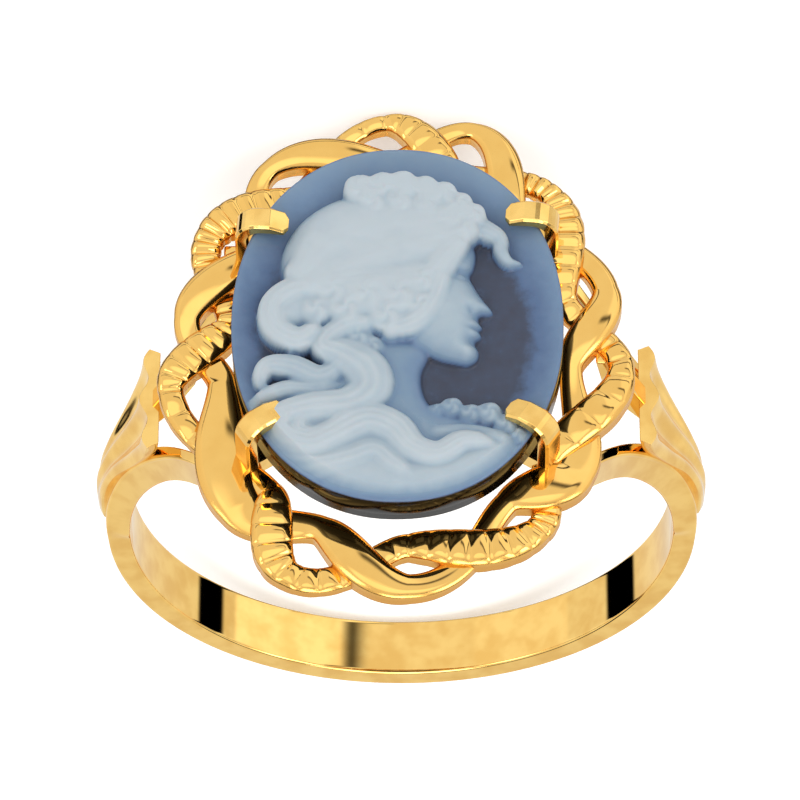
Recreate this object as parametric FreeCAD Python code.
import FreeCAD, Part
import bisect
import math
import os
from FreeCAD import Vector

# Cameo ring in gold with a layered agate cameo. Millimetres throughout.
# The ring is drawn in its own frame: origin at the centre of the finger hole,
# X across the fingers, Y along the finger towards the top of the cameo and
# Z out of the cameo's face. The last step lays it on its side on the floor.

# Finger hole and plain band
finger_radius = 8.4
band_outer_radius = 9.11
band_width = 1.95
band_top = 0.6

# Open twisted frame round the stone
frame_half_x = 5.83
frame_half_y = 7.4
frame_centre_y = -0.05
frame_squareness = 2.1
frame_underside = 8.46
frame_lobe_top = 9.03
frame_weave_height = 0.15
strand_bevel = 0.13
strand_crossing_swell = 0.42
smooth_steps = 8
ribbed_steps = 12
rib_depth = 0.12
strand_step = 0.03

# Outer lobes clockwise from the top. Each has the strand that forms it, its
# shift along the frame in lobe lengths, how far its outer edge stands outside
# the frame's middle line and its width, and then the same for the inner edge
# of the other strand, which lies inside the middle line there.
lobe_columns = ("strand", "shift", "reach", "width", "inner_reach", "inner_width")
lobe_rows = (
    ("ribbed", -0.10, 1.32, 0.58, 0.90, 0.85),
    ("smooth", -0.35, 1.40, 0.60, 0.88, 0.80),
    ("ribbed", -0.42, 1.00, 0.80, 1.10, 0.80),
    ("smooth", -0.20, 1.02, 0.80, 1.05, 0.80),
    ("ribbed", -0.30, 1.26, 0.82, 1.00, 0.70),
    ("smooth", -0.10, 0.92, 1.30, 1.00, 0.80),
    ("ribbed", -0.38, 0.98, 0.90, 1.15, 0.80),
    ("smooth", -0.10, 1.24, 0.85, 1.05, 0.85),
    ("ribbed", -0.10, 1.60, 0.90, 1.10, 0.90),
    ("smooth", -0.32, 1.10, 1.40, 1.00, 0.80),
    ("ribbed", 0.12, 1.40, 0.80, 0.98, 0.88),
    ("smooth", -0.10, 0.96, 0.80, 1.10, 0.80),
    ("ribbed", -0.15, 1.22, 0.95, 1.10, 0.80),
    ("smooth", -0.22, 1.08, 0.65, 0.95, 0.80),
)

# Four claws: outer face of the stem, middle of the strip, and its toe-in
claw_columns = ("x", "y", "turn")
claw_rows = (
    (4.86, 3.55, 175.0),
    (-4.86, 3.5, -4.0),
    (4.62, -4.05, 147.0),
    (-4.62, -4.05, 33.0),
)
claw_width = 0.76
claw_thickness = 0.42
claw_foot_z = 8.62
claw_shoulder_z = 10.22
claw_top_z = 11.0
claw_length = 1.62
claw_corner = 0.22
claw_cut_reach = 1.0
claw_cut_height = 20.0
# Side view of a claw: distance from the stem's outer face and depth below its top
claw_outer_bend = ((0.2, 0.22), (0.72, 0.0))
claw_tip = ((1.3, 0.02), (1.62, 0.28), (1.56, 0.4))
claw_inner_bend = ((0.82, 0.36), (0.52, 0.48))

# Plain oval rail that the stone sits on, and its four bridges to the claws
rail_half_x = 4.35
rail_half_y = 5.5
rail_wall = 0.65
rail_bottom = 8.56
rail_top = 9.22
bridge_width = 0.7
bridge_reach = 1.75
bridge_start = 0.05

# Split shoulders: the plan of one arm from the band's edge to under the frame
arm_outer_radius = 9.2
arm_columns = ("x", "face_y", "thickness")
arm_rows = (
    (9.4, 0.975, 0.95),
    (8.75, 1.0, 0.85),
    (8.2, 1.18, 0.66),
    (7.6, 1.5, 0.52),
    (6.95, 1.93, 0.45),
    (6.35, 2.47, 0.44),
    (5.6, 3.3, 0.5),
    (4.9, 4.15, 0.7),
)
arm_foot_x = (4.45, 5.3)
arm_foot_y = (3.35, 4.12)
arm_foot_bottom = 7.3
solder_overlap = 0.2

# Fluted leaves on the shoulders, section by section up from the tip
leaf_columns = ("height", "outer_x", "thickness", "half_width", "flute")
leaf_rows = (
    (-0.1, 9.2, 0.25, 0.2, 0.0),
    (0.5, 9.42, 0.4, 0.5, 0.0),
    (1.9, 9.4, 0.5, 0.68, 0.03),
    (3.2, 9.02, 0.5, 0.84, 0.06),
    (4.6, 8.4, 0.5, 1.3, 0.1),
    (5.6, 8.02, 0.48, 1.62, 0.12),
    (6.4, 7.86, 0.46, 1.78, 0.12),
)
leaf_flutes = 2.5
leaf_bow = 0.16
leaf_steps = 14
post_half_width = 0.34
post_corners = ((7.5, 6.3), (7.5, 5.2), (6.85, 6.1), (6.1, 7.6), (5.9, 8.7), (6.55, 8.7), (6.85, 7.6))

# The cameo: a layered stone with a dished face and a raised bust
stone_half_x = 4.94
stone_half_y = 6.28
stone_squareness = 2.13
stone_back = 9.3
stone_girdle_bottom = 9.45
stone_rim = 10.46
stone_dish = 10.02
stone_cells = 40
stone_back_inset = 0.18
stone_edge_inset = 0.1

# Raised forms of the bust: middle, half-axes, turn and height over the dish
form_columns = ("name", "x", "y", "half_x", "half_y", "turn", "height")
form_rows = (
    ("back of head", -1.9, 2.55, 1.9, 1.95, 20, 0.86),
    ("crown", -0.3, 3.25, 2.1, 1.75, -10, 0.88),
    ("temple", 0.85, 2.1, 1.7, 1.9, 0, 0.86),
    ("bandeau left", -1.0, 4.55, 0.75, 0.6, 20, 0.86),
    ("bandeau middle", 0.2, 4.85, 0.8, 0.55, 0, 0.86),
    ("bandeau right", 1.35, 4.55, 0.8, 0.6, -30, 0.84),
    ("front curl upper", 2.25, 3.75, 0.65, 0.75, -20, 0.8),
    ("front curl lower", 2.75, 2.75, 0.6, 0.75, 10, 0.72),
    ("forehead", 1.75, 1.75, 1.1, 1.0, 0, 0.7),
    ("cheek", 1.2, 0.6, 1.3, 1.5, 10, 0.74),
    ("nose", 2.55, 0.75, 0.55, 0.36, -35, 0.6),
    ("lips", 2.35, 0.0, 0.42, 0.3, 0, 0.56),
    ("chin", 2.05, -0.62, 0.58, 0.42, 15, 0.62),
    ("jaw", 1.1, -0.35, 1.05, 0.7, 18, 0.66),
    ("neck", 0.15, -1.3, 1.15, 2.1, -12, 0.55),
    ("ear curl", -1.1, 0.65, 0.85, 0.9, 0, 0.88),
    ("nape roll", -2.75, 1.1, 1.1, 0.95, 20, 0.84),
    ("nape curl", -3.3, 0.15, 0.75, 0.7, 0, 0.78),
    ("upper lock", -1.9, -0.75, 1.7, 0.8, 35, 0.8),
    ("side lock", -3.3, -1.5, 1.2, 0.7, 25, 0.72),
    ("shoulder lock", -1.6, -2.2, 1.9, 1.0, -20, 0.84),
    ("lower lock", -2.9, -2.9, 1.5, 0.9, -25, 0.7),
    ("breast lock", 0.3, -3.4, 1.9, 0.75, 8, 0.78),
    ("bust", -0.6, -4.2, 2.7, 1.25, 0, 0.66),
    ("drapery", 2.2, -2.85, 1.6, 0.85, -18, 0.66),
    ("drapery fold", 2.0, -3.7, 1.5, 0.75, 10, 0.6),
)

# Rest: the ring lies with the cameo's top end and the band's edge down, and
# the floor is found from meshed faces of this fineness
rest_lean = 23.66
rest_roll = 1.29
mesh_fineness = 0.002


def rows_as_dicts(columns, rows):
    return [dict(zip(columns, row)) for row in rows]


def signed_power(value, exponent):
    return math.copysign(abs(value) ** exponent, value)


def oval_point(turn, half_x, half_y, squareness):
    """Point of a slightly squared oval, clockwise from the top."""
    angle = 2 * math.pi * turn
    x = half_x * signed_power(math.sin(angle), 2 / squareness)
    y = half_y * signed_power(math.cos(angle), 2 / squareness)
    return Vector(x, y, 0)


def frame_line():
    """Fine points of the frame's middle line and the length along it at each."""
    fine = 1440
    line = [oval_point(i / fine, frame_half_x, frame_half_y, frame_squareness) for i in range(fine + 1)]
    lengths = [0.0]
    for start, end in zip(line, line[1:]):
        lengths.append(lengths[-1] + start.distanceToPoint(end))
    return line, lengths


def place_on_frame(share, line, lengths):
    """Point on the frame's middle line at a share of its length, and the outward direction."""
    wanted = lengths[-1] * (share % 1.0)
    index = min(max(bisect.bisect_right(lengths, wanted) - 1, 0), len(line) - 2)
    part_way = (wanted - lengths[index]) / (lengths[index + 1] - lengths[index])
    step = line[index + 1] - line[index]
    along = Vector(step).normalize()
    return line[index] + step * part_way + Vector(0, frame_centre_y, 0), Vector(-along.y, along.x, 0)


def solid_from_triangles(points, triangles):
    shell = Part.Shape()
    shell.makeShapeFromMesh((points, triangles), 0.0005)
    return Part.makeSolid(shell)


def closed_tube(sections):
    """Solid from a closed run of sections that all have the same number of corners."""
    corners = len(sections[0])
    points = [corner for section in sections for corner in section]
    triangles = []
    for index in range(len(sections)):
        here = index * corners
        there = ((index + 1) % len(sections)) * corners
        for corner in range(corners):
            after = (corner + 1) % corners
            triangles.append((here + corner, here + after, there + after))
            triangles.append((here + corner, there + after, there + corner))
    return solid_from_triangles(points, triangles)


def strand_course(name, steps):
    """Middle, width and crossing height of one strand, out at its own lobes and in at the other's."""
    lobes = rows_as_dicts(lobe_columns, lobe_rows)
    line, lengths = frame_line()
    course = []
    for index in range(len(lobes) * steps):
        lobe = index // steps
        share = (index % steps) / steps
        ends = []
        for row in (lobes[lobe], lobes[(lobe + 1) % len(lobes)]):
            if row["strand"] == name:
                ends.append((row["reach"] - row["width"] / 2, row["width"], row["shift"]))
            else:
                ends.append((row["inner_width"] / 2 - row["inner_reach"], row["inner_width"], row["shift"]))
        ease = (1 - math.cos(math.pi * share)) / 2
        offset = ends[0][0] + (ends[1][0] - ends[0][0]) * ease
        over = math.sin(math.pi * share) * (1 if lobes[lobe]["strand"] == name else -1)
        width = ends[0][1] + (ends[1][1] - ends[0][1]) * ease + strand_crossing_swell * max(0.0, over)
        along = lobe + share + ends[0][2] + (ends[1][2] - ends[0][2]) * share
        place, outward = place_on_frame(along / len(lobes), line, lengths)
        course.append((place + outward * offset, width, over))
    return course


def strand(name, steps, underside, groove):
    """One strand of the twist, flat below, with its top edges bevelled and every other step grooved."""
    course = strand_course(name, steps)
    sections = []
    for index, (centre, width, over) in enumerate(course):
        along = course[(index + 1) % len(course)][0] - course[index - 1][0]
        side = Vector(-along.y, along.x, 0).normalize()
        top = frame_lobe_top + frame_weave_height * over - groove * (index % 2)
        half = width / 2
        flat = half - strand_bevel
        outline = ((-half, underside), (-half, top - strand_bevel), (-flat, top))
        outline += ((flat, top), (half, top - strand_bevel), (half, underside))
        sections.append([centre + side * across + Vector(0, 0, z) for across, z in outline])
    return closed_tube(sections)


def twisted_frame():
    smooth = strand("smooth", smooth_steps, frame_underside, 0.0)
    ribbed = strand("ribbed", ribbed_steps, frame_underside + strand_step, rib_depth)
    return smooth.fuse(ribbed)


def oval_prism(half_x, half_y, bottom, top):
    """Upright prism over an ellipse whose long axis lies along Y."""
    ellipse = Part.Ellipse(Vector(0, half_y, bottom), Vector(half_x, 0, bottom), Vector(0, 0, bottom))
    face = Part.Face(Part.Wire(ellipse.toShape()))
    return face.extrude(Vector(0, 0, top - bottom))


def seat_rail():
    outer = oval_prism(rail_half_x, rail_half_y, rail_bottom, rail_top)
    inner = oval_prism(rail_half_x - rail_wall, rail_half_y - rail_wall, rail_bottom - 1, rail_top + 1)
    return outer.cut(inner)


def claw_point(place):
    return Vector(place[0], 0, claw_top_z - place[1])


def claw(row):
    """Bent flat strip with its stem's outer face at x = 0, reaching along +X, then placed."""
    line = Part.LineSegment
    outer_foot = Vector(0, 0, claw_foot_z)
    outer_shoulder = Vector(0, 0, claw_shoulder_z)
    inner_foot = Vector(claw_thickness, 0, claw_foot_z)
    inner_shoulder = Vector(claw_thickness, 0, claw_shoulder_z)
    outer_middle, outer_end = (claw_point(place) for place in claw_outer_bend)
    inner_end, inner_middle = (claw_point(place) for place in claw_inner_bend)
    slope_start, tip, tip_under = (claw_point(place) for place in claw_tip)
    outline = [
        line(outer_foot, outer_shoulder),
        Part.Arc(outer_shoulder, outer_middle, outer_end),
        line(outer_end, slope_start),
        line(slope_start, tip),
        line(tip, tip_under),
        line(tip_under, inner_end),
        Part.Arc(inner_end, inner_middle, inner_shoulder),
        line(inner_shoulder, inner_foot),
        line(inner_foot, outer_foot),
    ]
    profile = Part.Face(Part.Wire([piece.toShape() for piece in outline]))
    profile.translate(Vector(0, -claw_width / 2, 0))
    strip = profile.extrude(Vector(0, claw_width, 0))
    for side in (-1, 1):
        corner = Part.makePolygon(
            [
                Vector(claw_length - claw_corner, side * claw_width / 2, 0),
                Vector(claw_length + claw_cut_reach, side * (claw_width / 2 - claw_corner - claw_cut_reach), 0),
                Vector(claw_length + claw_cut_reach, side * claw_width / 2, 0),
                Vector(claw_length - claw_corner, side * claw_width / 2, 0),
            ]
        )
        strip = strip.cut(Part.Face(corner).extrude(Vector(0, 0, claw_cut_height)))
    corner = Vector(bridge_start, -bridge_width / 2, claw_foot_z)
    bridge = Part.makeBox(bridge_reach, bridge_width, rail_top - claw_foot_z, corner)
    strip = strip.fuse(bridge)
    strip.rotate(Vector(0, 0, 0), Vector(0, 0, 1), row["turn"])
    strip.translate(Vector(row["x"], row["y"], 0))
    return strip


def band():
    """Plain flat band: the lower part of the shank up to the shoulders."""
    start = Vector(0, -band_width / 2, 0)
    ring = Part.makeCylinder(band_outer_radius, band_width, start, Vector(0, 1, 0))
    size = 2 * band_outer_radius + 2
    lower = Part.makeBox(size, size, size, Vector(-size / 2, -size / 2, band_top - size))
    return ring.common(lower)


def arm(side, end):
    """One arm of a split shoulder; side is the ring's left or right, end its near or far face."""
    rows = rows_as_dicts(arm_columns, arm_rows)
    face = [Vector(side * row["x"], end * row["face_y"], 0) for row in rows]
    back = [Vector(side * row["x"], end * (row["face_y"] - row["thickness"]), 0) for row in rows]
    outline = face + back[::-1] + face[:1]
    blade = Part.Face(Part.makePolygon(outline)).extrude(Vector(0, 0, arm_outer_radius))
    length = 4 * band_width + 4
    hoop = Part.makeCylinder(arm_outer_radius, length, Vector(0, -length / 2, 0), Vector(0, 1, 0))
    width = arm_foot_x[1] - arm_foot_x[0]
    depth = arm_foot_y[1] - arm_foot_y[0]
    foot = Part.makeBox(width, depth, frame_underside + solder_overlap - arm_foot_bottom)
    low_x = arm_foot_x[0] if side > 0 else -arm_foot_x[1]
    low_y = arm_foot_y[0] if end > 0 else -arm_foot_y[1]
    foot.translate(Vector(low_x, low_y, arm_foot_bottom))
    return blade.common(hoop).fuse(foot)


def leaf(side):
    """Fluted leaf with a wavy outer face, widening up the shoulder."""
    sections = []
    for row in rows_as_dicts(leaf_columns, leaf_rows):
        outer = []
        for step in range(leaf_steps + 1):
            across = -1 + 2 * step / leaf_steps
            wave = row["flute"] * math.cos(2 * math.pi * leaf_flutes * across / 2)
            x = row["outer_x"] - leaf_bow * across * across + wave - row["flute"]
            outer.append(Vector(side * x, across * row["half_width"], row["height"]))
        inner_x = side * (row["outer_x"] - row["thickness"] - leaf_bow)
        inner = [
            Vector(inner_x, row["half_width"] * 0.92, row["height"]),
            Vector(inner_x, -row["half_width"] * 0.92, row["height"]),
        ]
        sections.append(Part.makePolygon(outer + inner + outer[:1]))
    return Part.makeLoft(sections, True, True)


def leaf_post(side):
    """Post inside the shoulder, from the leaf's back up to the frame."""
    points = [Vector(side * x, -post_half_width, z) for x, z in post_corners]
    face = Part.Face(Part.makePolygon(points + points[:1]))
    return face.extrude(Vector(0, 2 * post_half_width, 0))


def ring_metal():
    """All the gold, soldered to one solid."""
    bore = Part.makeCylinder(finger_radius, 20, Vector(0, -10, 0), Vector(0, 1, 0))
    pieces = [band()]
    pieces += [arm(side, end) for side in (-1, 1) for end in (-1, 1)]
    pieces += [leaf(side) for side in (-1, 1)]
    pieces += [leaf_post(side) for side in (-1, 1)]
    shank = pieces[0].fuse(pieces[1:]).cut(bore)
    head = seat_rail().fuse([claw(row) for row in rows_as_dicts(claw_columns, claw_rows)])
    metal = shank.fuse([head, twisted_frame()])
    return metal.removeSplitter().Solids[0]


def relief_height(x, y):
    """Height of the bust over the dish at a point of the stone's face."""
    highest = 0.0
    for form in rows_as_dicts(form_columns, form_rows):
        turn = math.radians(form["turn"])
        across = (x - form["x"]) * math.cos(turn) + (y - form["y"]) * math.sin(turn)
        along = (y - form["y"]) * math.cos(turn) - (x - form["x"]) * math.sin(turn)
        spread = (across / form["half_x"]) ** 2 + (along / form["half_y"]) ** 2
        if spread < 1:
            highest = max(highest, form["height"] * math.sqrt(1 - spread ** 2))
    return highest


def stone_oval(across, along, inset):
    """Point of the stone's outline family for a place in the unit disc."""
    angle = math.atan2(across, along)
    radius = math.hypot(across, along)
    point = oval_point(angle / (2 * math.pi), stone_half_x - inset, stone_half_y - inset, stone_squareness)
    return point * radius


def cameo_stone():
    """Dished face on a grid that is bent to the oval, with the girdle and back below it."""
    cells = stone_cells
    points = []
    for row in range(cells + 1):
        for column in range(cells + 1):
            u = -1 + 2 * column / cells
            v = -1 + 2 * row / cells
            across = u * math.sqrt(1 - v * v / 2)
            along = v * math.sqrt(1 - u * u / 2)
            radius = min(1.0, math.hypot(across, along))
            place = stone_oval(across, along, stone_edge_inset)
            fade = min(1.0, (1 - radius) / 0.06)
            dish = stone_dish + (stone_rim - stone_dish) * radius ** 3
            place.z = dish + relief_height(place.x, place.y) * fade
            points.append(place)

    def at(row, column):
        return row * (cells + 1) + column

    triangles = []
    for row in range(cells):
        for column in range(cells):
            triangles.append((at(row, column), at(row, column + 1), at(row + 1, column + 1)))
            triangles.append((at(row, column), at(row + 1, column + 1), at(row + 1, column)))
    loop = [at(0, column) for column in range(cells)]
    loop += [at(row, cells) for row in range(cells)]
    loop += [at(cells, cells - column) for column in range(cells)]
    loop += [at(cells - row, 0) for row in range(cells)]
    levels = ((0.0, stone_rim - stone_edge_inset), (0.0, stone_girdle_bottom), (stone_back_inset, stone_back))
    for inset, height in levels:
        start = len(points)
        for index in loop:
            rim = points[index]
            scale_x = (stone_half_x - inset) / (stone_half_x - stone_edge_inset)
            scale_y = (stone_half_y - inset) / (stone_half_y - stone_edge_inset)
            points.append(Vector(rim.x * scale_x, rim.y * scale_y, height))
        lower = [start + step for step in range(len(loop))]
        upper = loop if start == (cells + 1) ** 2 else [index - len(loop) for index in lower]
        for step in range(len(loop)):
            after = (step + 1) % len(loop)
            triangles.append((upper[step], lower[step], lower[after]))
            triangles.append((upper[step], lower[after], upper[after]))
    centre = len(points)
    points.append(Vector(0, 0, stone_back))
    for step in range(len(loop)):
        after = (step + 1) % len(loop)
        triangles.append((lower[step], centre, lower[after]))
    return solid_from_triangles(points, triangles).removeSplitter()


def lay_down(shape):
    """Turn a shape from the ring's own frame to the way that the ring lies."""
    shape = shape.copy()
    shape.rotate(Vector(0, 0, 0), Vector(0, 0, 1), 180)
    shape.rotate(Vector(0, 0, 0), Vector(1, 0, 0), 90 - rest_lean)
    shape.rotate(Vector(0, 0, 0), Vector(0, 1, 0), rest_roll)
    return shape


nodes = {"ring_mount": lay_down(ring_metal()), "cameo_stone": lay_down(cameo_stone())}
box = FreeCAD.BoundBox()
for shape in nodes.values():
    for point in shape.tessellate(mesh_fineness)[0]:
        box.add(point)
to_floor = Vector(-box.Center.x, -box.Center.y, -box.ZMin)
os.makedirs("parts", exist_ok=True)
for name, shape in nodes.items():
    shape.translate(to_floor)
    shape.exportStep("parts/" + name + ".step")
    print(name, shape.ShapeType, "valid", shape.isValid(), "faces", len(shape.Faces))
    print("  volume mm3", round(shape.Volume, 2), "centre of mass", shape.CenterOfMass)
print("box", box.XLength, box.YLength, box.ZLength)
print("finger hole centre", to_floor)
print("finger hole axis", lay_down(Part.Vertex(0, 1, 0)).Point)
print("cameo face direction", lay_down(Part.Vertex(0, 0, 1)).Point)
